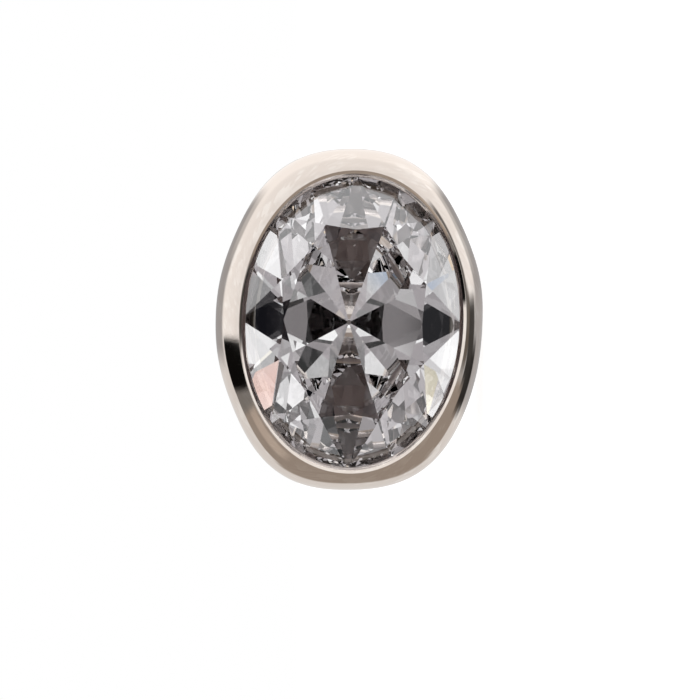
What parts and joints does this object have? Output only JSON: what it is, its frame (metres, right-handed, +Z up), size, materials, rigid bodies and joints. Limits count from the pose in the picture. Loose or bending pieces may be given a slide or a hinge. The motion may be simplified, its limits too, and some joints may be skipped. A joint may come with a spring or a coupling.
{
  "type": "threaded piercing top",
  "caption": "Oval bezel-set clear stone in a polished cup with a flat closed back and a threaded post that screws into a piercing post, lying on its side wall.",
  "frame": {"origin": "centre of the bounding box's bottom, on the surface that the top lies on", "axes": "+X to the top of the face (its long axis), -Y out of the face, +Y along the post to its tip, +Z up from the side wall that it lies on"},
  "size_m": [0.0046, 0.0044, 0.0036],
  "materials": {
    "polished_metal": "high polish, warm titanium grey",
    "clear_stone": "polished facets, colourless",
    "machined_metal": "as machined, satin brown-grey titanium"
  },
  "bodies": {
    "root": {"bezel_cup": "polished_metal", "oval_stone": "clear_stone", "threaded_post": "machined_metal"}
  },
  "joints": []
}
